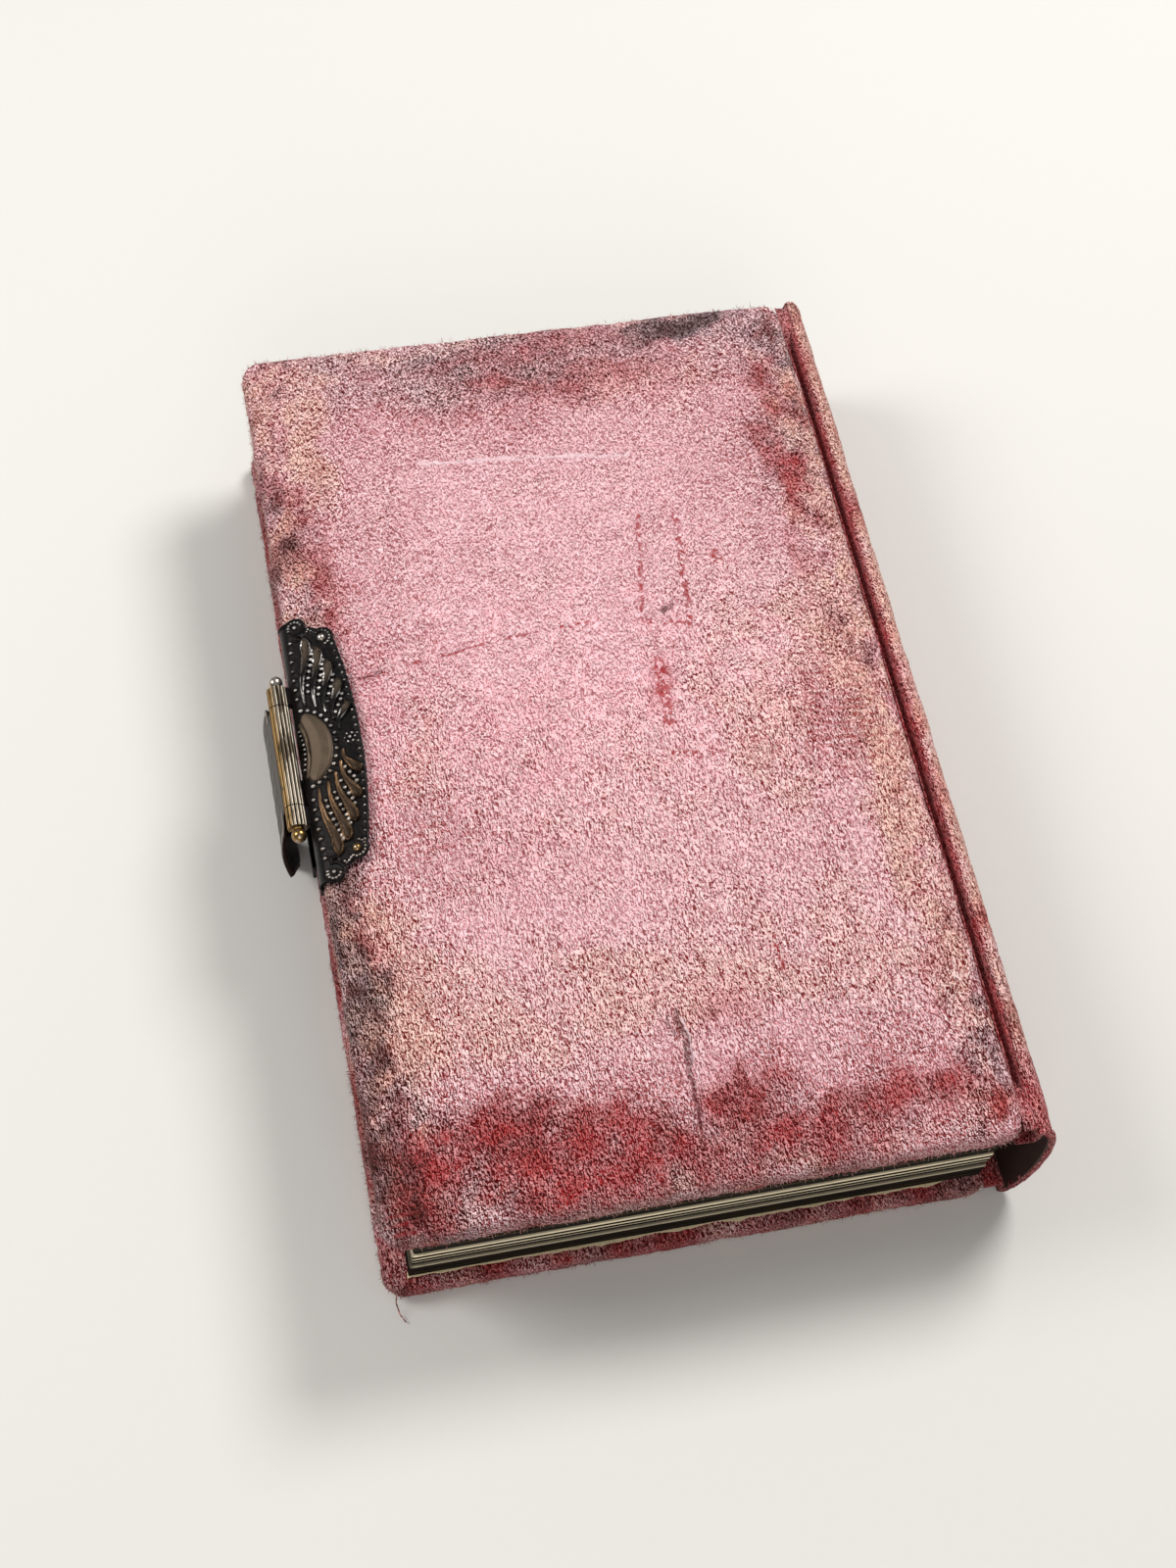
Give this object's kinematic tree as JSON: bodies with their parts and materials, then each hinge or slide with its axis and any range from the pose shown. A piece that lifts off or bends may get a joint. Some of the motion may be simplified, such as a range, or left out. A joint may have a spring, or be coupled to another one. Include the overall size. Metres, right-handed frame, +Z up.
{
  "type": "velvet photo album with clasp",
  "caption": "Thick velvet-covered photo album with padded front cover, card leaves, hollow spine and a stamped metal clasp hinged at the fore-edge.",
  "frame": {"origin": "middle of the back cover's underside, on the surface that the album lies on", "axes": "+X from the fore-edge to the spine, +Y from tail to head, +Z up out of the front cover"},
  "size_m": [0.1563, 0.23, 0.0473],
  "materials": {
    "velvet": "worn rose-pink cotton velvet with cream highlights on the nap",
    "board": "grey-brown pasteboard",
    "wadding": "cotton wadding",
    "endpaper": "aged cream paper",
    "leaves": "cream card leaves with dulled gilt edges",
    "lining_cloth": "brown glued cloth",
    "liner_card": "rust-brown card",
    "plate_metal": "blackened stamped brass worn to brown on the high points",
    "hasp_metal": "tarnished nickelled brass",
    "bright_metal": "rubbed nickelled brass"
  },
  "bodies": {
    "back_cover": {"back_board": "board", "back_velvet": "velvet", "back_endpaper": "endpaper", "catch_plate": "plate_metal", "catch_nails": "bright_metal"},
    "book_block": {"page_block": "leaves", "back_flyleaf": "endpaper", "block_lining": "lining_cloth", "spine_liner": "liner_card", "spine_velvet": "velvet"},
    "front_cover": {"front_board": "board", "front_wadding": "wadding", "front_velvet": "velvet", "front_endpaper": "endpaper", "clasp_plate": "plate_metal", "clasp_nails": "bright_metal", "hinge_pin": "bright_metal"},
    "hasp": {"hasp": "hasp_metal"}
  },
  "joints": [
    {"name": "back_cover_hinge", "type": "hinge", "parent": "back_cover", "child": "book_block", "pos_m": [0.07075, 0, -0.001], "axis": [0, 1, 0], "range_deg": [0, 180]},
    {"name": "front_cover_hinge", "type": "hinge", "parent": "book_block", "child": "front_cover", "pos_m": [0.07075, 0, 0.0429], "axis": [0, 1, 0], "range_deg": [0, 180]},
    {"name": "hasp_hinge", "type": "hinge", "parent": "front_cover", "child": "hasp", "pos_m": [-0.0733, 0.002, 0.04], "axis": [0, 1, 0], "range_deg": [-3.5, 150]}
  ]
}
